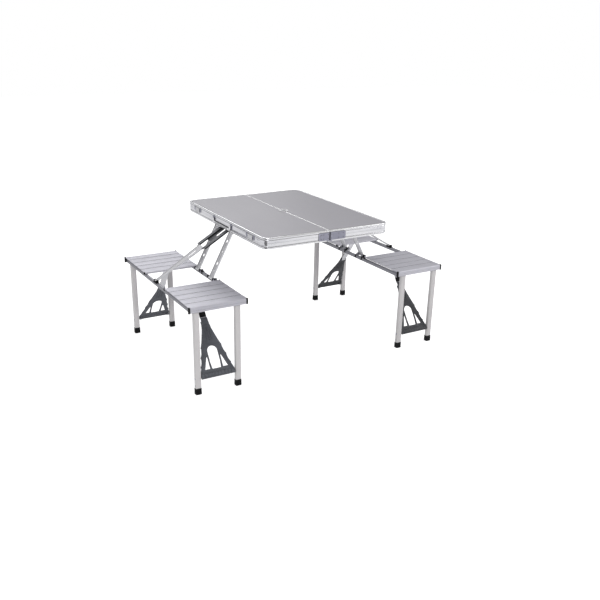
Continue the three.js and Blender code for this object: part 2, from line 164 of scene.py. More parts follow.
def metal_material(name, light, dark, stretch, roughness=(0.28, 0.45), metallic=0.85):
    """Brushed or extruded metal: fine drawn lines, cloudy tone, and brighter edges."""
    material, tree, shader, coords = new_material(name, metallic)
    lines = noise(tree, coords, 260, 3.0, stretch)
    clouds = noise(tree, coords, 6.0, 3.0)
    tone = ramp(tree, clouds, dark, light, 0.25, 0.75)
    lined = mix(tree, 0.16, tone, ramp(tree, lines, dark, light, 0.2, 0.8))
    worn = mix(tree, edge_wear(tree), lined, tuple(min(1.0, c * 1.12) for c in light))
    # The metal's colour gets painted shade in its grooves and joints.
    tree.links.new(painted_crevice_shade(tree, worn), shader.inputs["Base Color"])
    tree.links.new(ramp(tree, lines, *roughness, 0.2, 0.8), shader.inputs["Roughness"])
    bump(tree, shader, lines, 0.12, 0.0003)
    return material


def plastic_material(name, colour, worn, roughness=0.55, scuffed=1.3, gloss=0.5):
    """Moulded plastic: a fine spark texture, faint scuffs and paler edges."""
    material, tree, shader, coords = new_material(name, 0.0, roughness)
    shader.inputs["Specular IOR Level"].default_value = gloss
    texture = noise(tree, coords, 900, 2.0)
    scuffs = noise(tree, coords, 22.0, 6.0, (1, 1, 3))
    scuff_tone = tuple(c * scuffed for c in colour)
    tone = mix(tree, ramp(tree, scuffs, 0.0, 1.0, 0.45, 0.8), colour, scuff_tone)
    edged = mix(tree, edge_wear(tree, 0.53, 0.66), tone, worn)
    # The plastic's colour gets painted shade in its grooves and joints.
    tree.links.new(painted_crevice_shade(tree, edged), shader.inputs["Base Color"])
    tree.links.new(ramp(tree, scuffs, roughness - 0.1, roughness + 0.12), shader.inputs["Roughness"])
    bump(tree, shader, texture, 0.25, 0.0004)
    return material


def enamel_material(name, colour, shade):
    """Painted tube: faint orange peel, dust in soft blotches drawn out upright and slightly rubbed edges."""
    material, tree, shader, coords = new_material(name, 0.15, 0.42)
    peel = noise(tree, coords, 420, 2.0)
    clouds = noise(tree, coords, 9.0, 4.0, (1, 1, 0.3))
    tone = mix(tree, ramp(tree, clouds, 0.0, 0.6, 0.35, 0.8), colour, shade)
    edged = mix(tree, edge_wear(tree, 0.54, 0.68), tone, (0.9, 0.9, 0.9))
    # The enamel's colour gets painted shade in its grooves and joints.
    tree.links.new(painted_crevice_shade(tree, edged), shader.inputs["Base Color"])
    tree.links.new(ramp(tree, clouds, 0.36, 0.52), shader.inputs["Roughness"])
    bump(tree, shader, peel, 0.08, 0.0003)
    return material


def laminate_material(name, colour, fleck):
    """Matt laminate on the table top: a tight fleck, faint wiping marks and a soft sheen."""
    material, tree, shader, coords = new_material(name, 0.0, 0.42)
    flecks = noise(tree, coords, 1500, 2.0)
    wipes = noise(tree, coords, 5.0, 5.0, (1, 0.35, 1))
    base = mix(tree, ramp(tree, flecks, 0.0, 0.5, 0.45, 0.7), colour, fleck)
    tone = mix(tree, ramp(tree, wipes, 0.0, 0.35, 0.4, 0.8), base, tuple(c * 1.12 for c in colour))
    tree.links.new(tone, shader.inputs["Base Color"])
    tree.links.new(ramp(tree, wipes, 0.36, 0.5), shader.inputs["Roughness"])
    bump(tree, shader, flecks, 0.15, 0.0002)
    return material


METALS = {
    "bright_aluminium": ((0.74, 0.74, 0.78), (0.5, 0.5, 0.55), (1, 1, 18)),
    "trim_aluminium": ((0.92, 0.92, 0.95), (0.74, 0.74, 0.78), (0.12, 0.12, 9), (0.14, 0.26)),
    "satin_aluminium": ((0.8, 0.8, 0.82), (0.62, 0.62, 0.65), (1, 1, 18), (0.36, 0.52), 0.3),
    # The steel for the bench rails is darker than their own light grey: painted shade for the rails under the
    # table.
    "rail_steel_painted_shade": ((0.3, 0.3, 0.33), (0.2, 0.2, 0.23), (12, 1, 12), (0.3, 0.48), 0.6),
    "seat_aluminium": ((0.6, 0.595, 0.65), (0.45, 0.445, 0.495), (0.08, 6, 6), (0.38, 0.55), 0.45),
    "zinc_steel": ((0.42, 0.42, 0.5), (0.27, 0.27, 0.34), (3, 3, 1), (0.3, 0.5)),
    "dark_steel": ((0.2, 0.205, 0.22), (0.1, 0.1, 0.11), (1, 1, 4), (0.35, 0.55), 0.6),
}
PLASTICS = {
    "grey_plastic": ((0.085, 0.09, 0.105), (0.2, 0.21, 0.23)),
    # The second grey below is a darker copy of the first: painted shade, used only on the right braces.
    "grey_plastic_painted_shade": ((0.038, 0.04, 0.046), (0.13, 0.135, 0.145)),
    "pale_plastic": ((0.88, 0.88, 0.9), (0.94, 0.94, 0.95), 0.35, 1.0),
    "black_plastic": ((0.006, 0.006, 0.007), (0.03, 0.03, 0.032), 0.6, 1.3, 0.16),
}
MATERIALS = {name: metal_material(name, *finish) for name, finish in METALS.items()}
MATERIALS["leg_enamel"] = enamel_material("leg_enamel", (0.655, 0.635, 0.64), (0.5, 0.485, 0.49))
MATERIALS["top_laminate"] = laminate_material("top_laminate", (0.385, 0.377, 0.41), (0.46, 0.45, 0.48))
MATERIALS.update({name: plastic_material(name, *finish) for name, finish in PLASTICS.items()})


def dress(obj, slot, look=None):
    """Gives a piece its material: the look if one is named, or else its slot's own."""
    obj.data.materials.clear()
    obj.data.materials.append(MATERIALS[look or slot])


# ---------------- carried-over frame nodes

SLOT_OF = {entry["node"]: entry["material_slot"] for entry in frame["record"]["subparts"]}

for node_name, node in frame["nodes"].items():
    dress(node, SLOT_OF[node_name])
    soften(node, 0.6 * MM, 30)


# ---------------- where things are

JOINTS = {joint["name"]: joint for joint in frame["joints"]}


def outward(a, b):
    """A range measured away from the middle, unless it spans the middle."""
    return (a, b) if a < 0 < b else tuple(sorted((abs(a), abs(b))))


def extent(node):
    """A node's ranges in X, Y and Z, with X and Y measured outwards from the middle of the table."""
    low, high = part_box(node)
    return outward(low.x, high.x), outward(low.y, high.y), (low.z, high.z)


def pivot(joint):
    """Where a joint turns, with X and Y measured outwards from the middle of the table."""
    x, y, z = JOINTS[joint]["pos_m"]
    return Vector((abs(x), abs(y), z))


def along_xz(start, end):
    """A frame whose own X runs from one pivot to another in the XZ plane, at the middle of the table."""
    x_axis = Vector((end.x - start.x, 0, end.z - start.z)).normalized()
    z_axis = Vector((-x_axis.z, 0, x_axis.x))
    turn = Matrix((x_axis, Vector((0, 1, 0)), z_axis)).transposed().to_4x4()
    return Matrix.Translation((start.x, 0, start.z)) @ turn


def along_yz(start, end):
    """A frame whose own Y runs from one pivot to another in the YZ plane."""
    y_axis = Vector((0, end.y - start.y, end.z - start.z)).normalized()
    z_axis = Vector((0, -y_axis.z, y_axis.y))
    turn = Matrix((Vector((1, 0, 0)), y_axis, z_axis)).transposed().to_4x4()
    return Matrix.Translation(start) @ turn


# ---------------- shaping tools

AXES = {"x": (0, 1, 2), "y": (1, 0, 2), "z": (2, 0, 1)}


def placed(axis, h, u, v):
    """A point at h along the axis, with u and v along the other two."""
    point = [0.0, 0.0, 0.0]
    for index, value in zip(AXES[axis], (h, u, v)):
        point[index] = value
    return point


def scaled(points, u0=0, v0=0):
    """Points given in millimetres, set out from a corner."""
    return [(u0 + u * MM, v0 + v * MM) for u, v in points]


def around(middle, half):
    """A range that reaches half to each side of its middle."""
    return middle - half, middle + half


def loft(bm, rings, closed=False):
    """Skins a run of rings of points, and closes its ends unless the run itself is closed."""
    made = [[bm.verts.new(point) for point in ring] for ring in rings]
    pairs = list(zip(made, made[1:]))
    if closed:
        pairs.append((made[-1], made[0]))
    for near, far in pairs:
        for i in range(len(near)):
            j = (i + 1) % len(near)
            bm.faces.new((near[i], near[j], far[j], far[i]))
    if not closed:
        bm.faces.new(made[0])
        bm.faces.new(made[-1])


def round_rect(u, v, radius, steps=4):
    """The outline of a rectangle with round corners."""
    points = []
    corners = ((u[1], v[1], 0), (u[0], v[1], 90), (u[0], v[0], 180), (u[1], v[0], 270))
    for corner_u, corner_v, start in corners:
        centre_u = corner_u - copysign(radius, corner_u - sum(u) / 2)
        centre_v = corner_v - copysign(radius, corner_v - sum(v) / 2)
        for step in range(steps + 1):
            angle = radians(start + 90 * step / steps)
            points.append((centre_u + radius * cos(angle), centre_v + radius * sin(angle)))
    return points


def prism(bm, axis, span, outline):
    """A 2D outline carried along one axis."""
    loft(bm, [[placed(axis, h, u, v) for u, v in outline] for h in span])


def pad(bm, xs, ys, zs, radius=0.0015, crown=0.0006):
    """A block with rounded upright corners and softened top and bottom edges."""
    rings = []
    for z, inset in ((zs[0], crown), (zs[0] + crown, 0), (zs[1] - crown, 0), (zs[1], crown)):
        u, v = (xs[0] + inset, xs[1] - inset), (ys[0] + inset, ys[1] - inset)
        rings.append([(x, y, z) for x, y in round_rect(u, v, radius)])
    loft(bm, rings)


def lathe(bm, axis, centre, profile, segments=24):
    """Turns a profile of (radius, distance along the axis) pairs about an axis through centre."""
    hub = [centre[index] for index in AXES[axis]]
    rings = []
    for radius, height in profile:
        ring = []
        for step in range(segments):
            angle = 2 * pi * step / segments
            across = hub[1] + radius * cos(angle), hub[2] + radius * sin(angle)
            ring.append(placed(axis, hub[0] + height, *across))
        rings.append(ring)
    loft(bm, rings)


def rod(bm, axis, centre, radius, near, far, segments):
    """A round bar along the axis, from near to far, both measured from centre."""
    lathe(bm, axis, centre, [(radius, near), (radius, far)], segments)


def dome(bm, axis, centre, radius, height):
    """A rivet or screw head that stands out along the axis by height, which may be negative."""
    profile = [(radius, 0), (radius, height * 0.35), (radius * 0.8, height * 0.75), (radius * 0.4, height)]
    lathe(bm, axis, centre, profile, 16)


def curve_mesh(splines, extrude, bevel, flat=True):
    """Closed outlines as a mesh: filled and thick with holes, or, when not flat, a round bead along each."""
    data = bpy.data.curves.new("outline", "CURVE")
    data.dimensions = "2D" if flat else "3D"
    data.fill_mode = "BOTH" if flat else "FULL"
    data.extrude = extrude
    data.bevel_depth = bevel
    data.bevel_resolution = 2
    for points in splines:
        spline = data.splines.new("POLY")
        spline.points.add(len(points) - 1)
        for point, (u, v) in zip(spline.points, points):
            point.co = (u, v, 0, 1)
        spline.use_cyclic_u = True
    holder = into_scene("outline", data)
    mesh = bpy.data.meshes.new_from_object(holder.evaluated_get(bpy.context.evaluated_depsgraph_get()))
    bpy.data.objects.remove(holder)
    bpy.data.curves.remove(data)
    return mesh


def add_piece(name, bm, body, slot, side=1, end=1, look=None, stands_for=(), bevel=0.0, smooth=38, at=None):
    """Turns a shape drawn for the right back quarter, or in a frame there, into a piece on its body."""
    if at is not None:
        bm.transform(at)
    bmesh.ops.remove_doubles(bm, verts=bm.verts, dist=1e-6)
    bmesh.ops.scale(bm, vec=(side, end, 1), verts=bm.verts)
    bmesh.ops.recalc_face_normals(bm, faces=bm.faces)
    mesh = bpy.data.meshes.new(name)
    bm.to_mesh(mesh)
    bm.free()
    mesh.shade_smooth()
    mesh.set_sharp_from_angle(angle=radians(smooth))
    obj = into_scene(name, mesh)
    dress(obj, slot, look)
    if bevel:
        soften(obj, bevel)
    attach(obj, body)
    if stands_for:
        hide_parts(*stands_for)


# ---------------- the case

def case_path(xs, ys, radius, inset, steps=10):
    """The outline of a case half from the seam, round both outer corners, back to the seam."""
    start = xs[0]
    outer, end, bend = xs[1] - inset, ys[1] - inset, radius - inset
    points = [(start, -end)]
    for centre_y, first in ((-end + bend, -90), (end - bend, 0)):
        for step in range(steps + 1):
            angle = radians(first + 90 * step / steps)
            points.append((outer - bend + bend * cos(angle), centre_y + bend * sin(angle)))
    points.append((start, end))
    return points


def rim_profile(low, high, wall):
    """The edge extrusion in section, as (inset, height): rolled foot, two grooves, lip over the panel."""
    lip_under = high - 0.95 * MM
    outer = [(1.4, 0.0), (0.5, 0.4), (0.0, 1.6), (0.0, 10.5), (0.5, 11.2), (0.5, 12.4), (0.0, 13.1)]
    outer += [(0.0, 24.0), (0.3, 25.6), (0.3, 34.0), (0.0, 35.6), (0.0, 39.2), (0.6, 40.0), (0.6, 41.4)]
    outer += [(0.0, 42.2), (0.0, 46.4), (0.5, 48.4), (1.6, 49.6), (3.0, 50.0)]
    points = scaled(outer, 0, low)
    points += [(9.4 * MM, high), (10 * MM, high - 0.4 * MM), (9.8 * MM, lip_under), (wall, lip_under)]
    ledge = high - 4.3 * MM
    points += [(wall, ledge), (wall + 2.5 * MM, ledge), (wall + 2.5 * MM, ledge - 2.6 * MM)]
    points += [(wall, ledge - 3 * MM), (wall, low + 4 * MM), (wall + 3 * MM, low + 3.4 * MM)]
    points += [(wall + 3 * MM, low + 0.6 * MM), (wall, low)]
    return points


def build_case(name, side):
    """One half of the case: its edge frame, seam edge and seam band, and everything fixed to them."""
    case = name + "_case"
    xs, ys, zs = extent(name + "_case_frame")
    ys = (-ys[1], ys[1])
    ring_reach = extent(name + "_parasol_ring")[1][1] + 0.3 * MM
    bm = bmesh.new()
    section = rim_profile(zs[0], zs[1], CASE_WALL)
    outlines = [case_path(xs, ys, CASE_CORNER, inset) for inset, height in section]
    rings = []
    for station in range(len(outlines[0])):
        points = zip(outlines, section)
        rings.append([(*outline[station], height) for outline, (inset, height) in points])
    loft(bm, rings)
    for near, far in ((ring_reach, ys[1] - 3 * MM), (ys[0] + 3 * MM, -ring_reach)):
        seam = [(0, 0), (4.4, 0), (4.4, 1.4), (1.4, 1.8), (1.4, 44), (6.2, 45), (6.2, 45.7)]
        seam += [(3.4, 46), (3.4, 49), (2.2, 49.05), (2.2, 49.7), (1.8, 50), (0.6, 50), (0, 49.4)]
        prism(bm, "y", (near, far), scaled(seam, xs[0], zs[0]))
    add_piece(name + "_edge_frame", bm, case, "bright_aluminium", side, look="trim_aluminium",
              stands_for=[name + "_case_frame"])

    bm = bmesh.new()
    for near, far in ((ring_reach, ys[1] - 10 * MM), (ys[0] + 10 * MM, -ring_reach)):
        band = [(2.1, 45.8), (5, 45.8), (5, 49.1), (4.7, 49.3), (2.1, 49.3)]
        prism(bm, "y", (near, far), scaled(band, xs[0], zs[0]))
    add_piece(name + "_seam_band", bm, case, "top_laminate", side)
    build_ring(name, side, case)
    build_underside(name, side, case, ys)
    for end_name, end in ENDS:
        build_seam_plate(name, side, end_name, end, case)
        build_corner_screws(name, side, end_name, end, case, xs, ys, zs)


def half_turn(bm, section, reach, steps=18):
    """A section of (radius, height) points turned about the middle of the table, by reach each way from X."""
    rings = []
    for step in range(steps + 1):
        angle = radians(-reach + 2 * reach * step / steps)
        rings.append([(r * cos(angle), r * sin(angle), z) for r, z in section])
    loft(bm, rings)


def build_ring(name, side, case):
    """Half of the raised parasol ring, with a sleeve down into the top and three screws."""
    node = name + "_parasol_ring"
    outer, (low, high) = extent(node)[0][1], extent(node)[2]
    bore, top = 16 * MM, high + 3.4 * MM
    bm = bmesh.new()
    section = [(bore, low), (outer, low), (outer, top - 1.4 * MM), (outer - 1 * MM, top - 0.5 * MM)]
    section += [(outer - 2.4 * MM, top), (bore + 1.0 * MM, top), (bore + 0.3 * MM, top - 0.5 * MM)]
    section += [(bore, top - 2 * MM)]
    half_turn(bm, section, 89.2)
    add_piece(name + "_ring_half", bm, case, "grey_plastic", side, look="pale_plastic",
              stands_for=[node])
    bm = bmesh.new()
    sleeve = [(bore - 0.2 * MM, top - 5 * MM), (bore - 1.6 * MM, top - 5.4 * MM)]
    sleeve += [(bore - 1.6 * MM, low - 12 * MM), (bore + 0.2 * MM, low - 12 * MM)]
    sleeve += [(bore + 0.2 * MM, low + 0.4 * MM), (bore - 0.2 * MM, low + 0.4 * MM)]
    half_turn(bm, sleeve, 88.8)
    add_piece(name + "_ring_sleeve", bm, case, "grey_plastic", side)
    bm = bmesh.new()
    for degrees in (-58, 0, 58):
        angle = radians(degrees)
        middle = (bore + outer) / 2
        place = (middle * cos(angle), middle * sin(angle), top - 0.1 * MM)
        dome(bm, "z", place, 1.5 * MM, 0.7 * MM)
    add_piece(name + "_ring_screws", bm, case, "dark_steel", side)


def build_underside(name, side, case, ys):
    """Two folded stiffening ribs under the panel, with rows of rivets through their flanges."""
    panel_low = extent(name + "_top_panel")[2][0]
    bm = bmesh.new()
    hat = [(-22, 0), (-22, -1), (-13, -1), (-9, -7), (9, -7), (13, -1), (22, -1), (22, 0)]
    for x in PANEL_RIB_PLACES:
        prism(bm, "y", (ys[0] + 12 * MM, ys[1] - 12 * MM), scaled(hat, x, panel_low - 0.2 * MM))
    add_piece(name + "_panel_ribs", bm, case, "zinc_steel", side, bevel=0.5 * MM)
    bm = bmesh.new()
    for x in PANEL_RIB_PLACES:
        for step in range(-4, 5):
            for flange in (-17.5 * MM, 17.5 * MM):
                place = (x + flange, step * 92 * MM, panel_low - 1.2 * MM)
                dome(bm, "z", place, 2.4 * MM, -1.1 * MM)
    add_piece(name + "_rib_rivets", bm, case, "zinc_steel", side, look="bright_aluminium")


def build_seam_plate(name, side, end_name, end, case):
    """A stepped hinge plate over the seam with its screws, and on one side the pin between the plates."""
    node = f"{name}_{end_name}_seam_plate"
    xs, ys, zs = extent(node)
    bm = bmesh.new()
    low = zs[0] + 5 * MM
    corners = [(xs[0], low), (xs[0], zs[1]), (xs[1] - 5 * MM, zs[1]), (xs[1], zs[1] - 5 * MM)]
    corners += [(xs[1], low + 5 * MM), (xs[1] - 5 * MM, low), (xs[0] + 13 * MM, low)]
    corners += [(xs[0] + 10 * MM, zs[0]), (xs[0] + 2 * MM, zs[0])]
    prism(bm, "y", (ys[0], ys[1] - 0.7 * MM), corners)
    middle = (low + zs[1]) / 2
    raised = round_rect((xs[0] + 16 * MM, xs[1] - 8 * MM), (low + 6 * MM, zs[1] - 6 * MM), 5 * MM)
    prism(bm, "y", (ys[1] - 0.8 * MM, ys[1]), raised)
    add_piece(node + "_skin", bm, case, "zinc_steel", side, end, stands_for=[node], bevel=0.5 * MM)
    bm = bmesh.new()
    for x in (xs[0] + 8 * MM, xs[1] - 13 * MM, (xs[0] + xs[1]) / 2 + 4 * MM):
        for rise in (-9 * MM, 9 * MM):
            outer = ys[1] if x > xs[0] + 15 * MM else ys[1] - 0.7 * MM
            dome(bm, "y", (x, outer - 0.1 * MM, middle + rise), 2.2 * MM, 0.9 * MM)
    add_piece(node + "_screws", bm, case, "dark_steel", side, end)
    if side > 0:
        return
    bm = bmesh.new()
    pin = [(1.8 * MM, low), (2.6 * MM, low + 1 * MM), (2.6 * MM, zs[1] - 1 * MM), (1.8 * MM, zs[1])]
    lathe(bm, "z", (0, ys[1] - 0.6 * MM, 0), pin, 16)
    add_piece(f"{end_name}_seam_pin", bm, case, "dark_steel", side, end, look="black_plastic")


def build_corner_screws(name, side, end_name, end, case, xs, ys, zs):
    """Two screws in each wall beside a rounded corner of the case."""
    bm = bmesh.new()
    for x in (xs[1] - 52 * MM, xs[1] - 66 * MM):
        dome(bm, "y", (x, ys[1] - 0.5 * MM, zs[0] + 30 * MM), 1.8 * MM, 0.9 * MM)
    for y in (ys[1] - 52 * MM, ys[1] - 66 * MM):
        dome(bm, "x", (xs[1] - 0.5 * MM, y, zs[0] + 30 * MM), 1.8 * MM, 0.9 * MM)
    add_piece(f"{name}_{end_name}_corner_screws", bm, case, "zinc_steel", side, end)


def build_latch(end_name, end):
    """A pressed lever with a curled finger edge, between the two small plates it hinges on."""
    xs, ys, zs = extent(end_name + "_latch")
    bm = bmesh.new()
    wall = xs[0]
    section = [(0.2, 0), (2.0, 0.4), (4.6, -0.6), (5.4, 0.6), (4.2, 2.2), (2.6, 3.4), (2.6, 18)]
    section += [(1.6, 21), (0.2, 21.6)]
    prism(bm, "y", (ys[0] + 4 * MM, ys[1] - 4 * MM), scaled(section, wall, zs[0]))
    for y in (ys[0] + 2 * MM, ys[1] - 2 * MM):
        rod(bm, "y", (wall + 1.6 * MM, y, zs[1] - 2 * MM), 1.5 * MM, -2 * MM, 2 * MM, 12)
    add_piece(end_name + "_latch_lever", bm, end_name + "_latch", "zinc_steel", -1, end,
              look="satin_aluminium", stands_for=[end_name + "_latch"], bevel=0.4 * MM)
    bm = bmesh.new()
    for y in (ys[0] - 7 * MM, ys[1] + 7 * MM):
        dome(bm, "x", (wall - 0.3 * MM, y, zs[1] - 8 * MM), 2.4 * MM, 1.3 * MM)
    for near, far in ((ys[0] - 14 * MM, ys[0] - 0.4 * MM), (ys[1] + 0.4 * MM, ys[1] + 14 * MM)):
        plate = round_rect((near, far), (zs[1] - 17 * MM, zs[1] + 2 * MM), 3 * MM)
        prism(bm, "x", (wall - 0.2 * MM, wall + 0.8 * MM), plate)
    add_piece(end_name + "_latch_base", bm, "left_case", "zinc_steel", -1, end, bevel=0.2 * MM)


def build_catch(end_name, end):
    """The plate and hook on the far wall that a latch closes over."""
    node = end_name + "_catch"
    xs, ys, zs = extent(node)
    bm = bmesh.new()
    prism(bm, "x", (xs[0], xs[0] + 2 * MM), round_rect(ys, zs, 4 * MM))
    hook = [(0, 12), (4, 12), (5, 14), (5, 20), (3.6, 20.6), (3.4, 15.6), (0, 15.2)]
    prism(bm, "y", (ys[0] + 6 * MM, ys[1] - 6 * MM), scaled(hook, xs[0], zs[0]))
    for y in (ys[0] + 4 * MM, ys[1] - 4 * MM):
        dome(bm, "x", (xs[0] + 1.9 * MM, y, zs[0] + 6 * MM), 2 * MM, 0.9 * MM)
    add_piece(node + "_plate", bm, "right_case", "zinc_steel", 1, end, stands_for=[node], bevel=0.3 * MM)


def build_handle():
    """A bowed grip with soft ribs round its middle, on two plates screwed to the case wall."""
    xs, ys, zs = extent("carry_handle")
    bm = bmesh.new()
    middle_x, half = sum(xs) / 2, (xs[1] - xs[0]) / 2
    grip_z, top_z = zs[0] + 6 * MM, zs[1] - 3 * MM
    reach, bend = ys[1] - 6 * MM, 14 * MM
    grip_radius, grip_half = 5.6 * MM, half * 0.94
    spine = [(-reach, top_z, 1, 0)]
    for step in range(7):
        angle = radians(180 + 15 * step)
        u, v = cos(angle), sin(angle)
        spine.append((-reach + bend * (1 + u), grip_z + bend * (1 + v), -u, -v))
    spine += [(-y, z, -u, v) for y, z, u, v in reversed(spine)]
    rings = []
    for y, z, u, v in spine:
        ring = []
        for step in range(14):
            angle = 2 * pi * step / 14
            across = grip_radius * cos(angle)
            ring.append((middle_x + grip_half * sin(angle), y + across * u, z + across * v))
        rings.append(ring)
    loft(bm, rings)
    add_piece("handle_grip", bm, "carry_handle", "grey_plastic", -1, look="pale_plastic",
              stands_for=["carry_handle"])
    bm = bmesh.new()
    rib = scaled([(5.9, -1.4), (6.3, -0.8), (6.3, 0.8), (5.9, 1.4)])
    for step in range(-7, 8):
        rings = []
        for radius, offset in rib:
            y = step * 9 * MM + offset
            ring = []
            for turn in range(14):
                angle = 2 * pi * turn / 14
                x = middle_x + (grip_half + radius - grip_radius) * sin(angle)
                ring.append((x, y, grip_z + radius * cos(angle)))
            rings.append(ring)
        loft(bm, rings)
    add_piece("handle_ribs", bm, "carry_handle", "grey_plastic", -1)
    bm = bmesh.new()
    wall = xs[0] - 1 * MM
    for y in (-reach, reach):
        span = sorted((y - copysign(9 * MM, y), y + copysign(13 * MM, y)))
        plate = round_rect(span, (top_z - 17 * MM, top_z + 9 * MM), 4 * MM)
        prism(bm, "x", (wall, wall + 0.9 * MM), plate)
        dome(bm, "x", (wall + 0.8 * MM, y + copysign(9.2 * MM, y), top_z - 11 * MM), 2.2 * MM, 1.0 * MM)
    add_piece("handle_plates", bm, "left_case", "zinc_steel", -1, bevel=0.2 * MM)


# ---------------- the folding linkage

def build_linkage(name, side):
    """Everything that carries one bench: struts, stays, arm, hinge blocks and fittings."""
    strut_top, strut_foot = pivot(name + "_bench_fold"), pivot(name + "_bench_level")
    arm_foot, stay_top = pivot(name + "_arm_fold"), pivot(name + "_stay_fold")
    for end_name, end in ENDS:
        build_strut(name, side, end_name, end, strut_top, strut_foot)
        build_stay(name, side, end_name, end, stay_top, arm_foot)
        build_hinge_shells(name, side, end_name, end, strut_foot)
    build_stay_web(name, side, stay_top, arm_foot)
    build_arm(name, side, arm_foot, stay_top)
    build_fittings(name, side, arm_foot, stay_top, strut_top)


def build_strut(name, side, end_name, end, top, foot):
    """A pressed channel: a flanged plate with raised holes and a hub at each end."""
    node = f"{name}_{end_name}_strut"
    ys = extent(node)[1]
    frame_at = along_xz(top, foot)
    length = (foot - top).length
    middle, half = sum(ys) / 2, (ys[1] - ys[0]) / 2
    bm = bmesh.new()
    holes = [round_hole(share * length, middle, radius * MM)
             for share, radius in ((0.14, 4), (0.3, 7.5), (0.5, 4.5), (0.72, 7.5), (0.86, 4))]
    web = round_rect((0, length), (middle - half + 0.5 * MM, middle + half - 0.5 * MM), 1 * MM)
    bm.from_mesh(curve_mesh([web, *holes], 0.8 * MM, 0.4 * MM))
    for edge, turn in ((middle - half, 1), (middle + half, -1)):
        lip = [(0, -3), (0, 3), (4.4, 3), (4.8, 2.4), (4.4, 1.9), (1.8, 1.6), (1.8, -3)]
        outline = [(edge + turn * v * MM, z * MM) for v, z in lip]
        prism(bm, "x", (0, length), outline)
    for x in (0, length):
        rod(bm, "y", (x, middle, 0), STRUT_HUB, -half, half, 20)
    add_piece(node + "_channel", bm, name + "_struts", "bright_aluminium", side, end,
              look="satin_aluminium", stands_for=[node], bevel=0.4 * MM, at=frame_at)
    bm = bmesh.new()
    rim = scaled([(7.5, 0.8), (8, 1.9), (9.1, 2.1), (9.9, 0.8)])
    for share in (0.3, 0.72):
        collar(bm, (share * length, middle), rim)
    add_piece(node + "_hole_collars", bm, name + "_struts", "bright_aluminium", side, end,
              look="satin_aluminium", at=frame_at)


def round_hole(u, v, radius, steps=20):
    """The outline of a round hole."""
    turns = [2 * pi * step / steps for step in range(steps)]
    return [(u + radius * cos(turn), v + radius * sin(turn)) for turn in turns]


def collar(bm, centre, profile, steps=20):
    """A raised ring about a hole in a flat plate, closed on itself."""
    rings = []
    for step in range(steps):
        turn = 2 * pi * step / steps
        u, v = cos(turn), sin(turn)
        rings.append([(centre[0] + r * u, centre[1] + r * v, z) for r, z in profile])
    loft(bm, rings, closed=True)


def build_stay(name, side, end_name, end, top, arm_foot):
    """A stay as an outward-facing channel, with riveted ends."""
    node = f"{name}_{end_name}_stay"
    ys = extent(node)[1]
    frame_at = along_xz(top, arm_foot)
    length, inner = STAY_LENGTH, ys[0]
    bm = bmesh.new()
    channel = [(0, -3.8), (0, 3.8), (20.6, 3.8), (21, 3.4), (21, 2.8), (20.4, 2.4), (2.2, 2.2), (2.2, -2.2)]
    channel += [(20.4, -2.4), (21, -2.8), (21, -3.4), (20.6, -3.8)]
    prism(bm, "x", (22 * MM, length - 6 * MM), scaled(channel, inner))
    prism(bm, "x", (0, length), round_rect(ys, (-3.4 * MM, 3.4 * MM), 1.2 * MM))
    for x in (0, length):
        rod(bm, "y", (x, inner, 0), 4 * MM, 0, ys[1] - inner, 20)
    add_piece(node + "_channel", bm, name + "_stays", "dark_steel", side, end, stands_for=[node],
              bevel=0.3 * MM, at=frame_at)
    bm = bmesh.new()
    for x in (34 * MM, 112 * MM, length - 24 * MM):
        dome(bm, "y", (x, inner + 2.1 * MM, 0), 1.9 * MM, 1.6 * MM)
    add_piece(node + "_rivets", bm, name + "_stays", "zinc_steel", side, end, at=frame_at)


def build_stay_web(name, side, top, arm_foot):
    """The slotted plate that joins the two stays into a channel, short of where the arm swings through."""
    reach = extent(name + "_back_stay")[1][1]
    slot = round_rect((48 * MM, 118 * MM), (-7 * MM, 7 * MM), 6.8 * MM)
    plate = round_rect((24 * MM, 158 * MM), (-reach, reach), 5 * MM)
    bm = bmesh.new()
    bm.from_mesh(curve_mesh([plate, slot], 0.5 * MM, 0.25 * MM))
    for x, y in ((36, -5), (36, 5), (134, -10), (134, 10)):
        dome(bm, "z", (x * MM, y * MM, 0.5 * MM), 2.4 * MM, 1.1 * MM)
    bm.transform(along_xz(top, arm_foot) @ Matrix.Translation((0, 0, -4.7 * MM)))
    add_piece(name + "_stay_web", bm, name + "_stays", "dark_steel", side)


def build_arm(name, side, foot, stay_top):
    """The main arm: a tapered pressing with turned-up edges, a small window, and a pad at its wide end."""
    node = name + "_main_arm"
    frame_at = along_xz(foot, stay_top)
    length = (stay_top - foot).length - STAY_LENGTH
    end = length + 8 * MM
    stations = ((0, 7), (0.06, 8), (0.3, 12.4), (0.5, 16), (0.66, 19.6), (0.78, 23.4), (0.9, 23.9), (1, 23.9))
    outline = [(share * end, half * MM) for share, half in stations]
    outline += [(x, -y) for x, y in reversed(outline)]
    window = [(0.7 * length, 3.2 * MM), (0.74 * length, 6 * MM), (0.9 * length, 7 * MM)]
    window += [(x, -y) for x, y in reversed(window)]
    bm = bmesh.new()
    bm.from_mesh(curve_mesh([outline, window], 1.3 * MM, 0.5 * MM))
    for turn in (1, -1):
        rings = []
        for share, half in stations:
            edge, inner = turn * half * MM, turn * (half - 2.2) * MM
            rings.append([(share * end, edge, -3.4 * MM), (share * end, edge, 3.4 * MM),
                          (share * end, inner, 3.4 * MM), (share * end, inner, -3.4 * MM)])
        loft(bm, rings)
    rod(bm, "y", (0, 0, 0), 4.2 * MM, -7 * MM, 7 * MM, 20)
    add_piece(node + "_pressing", bm, name + "_arm", "bright_aluminium", side,
              look="satin_aluminium", stands_for=[node], bevel=0.35 * MM, at=frame_at)
    bm = bmesh.new()
    pad(bm, (length * 0.925, end - 1 * MM), (-20 * MM, 20 * MM), (1.2 * MM, 3.3 * MM), 2 * MM)
    for y in (-14 * MM, 14 * MM):
        dome(bm, "z", (length * 0.97, y, 3.2 * MM), 2.2 * MM, 0.3 * MM)
    add_piece(node + "_end_pad", bm, name + "_arm", "black_plastic", side, at=frame_at)


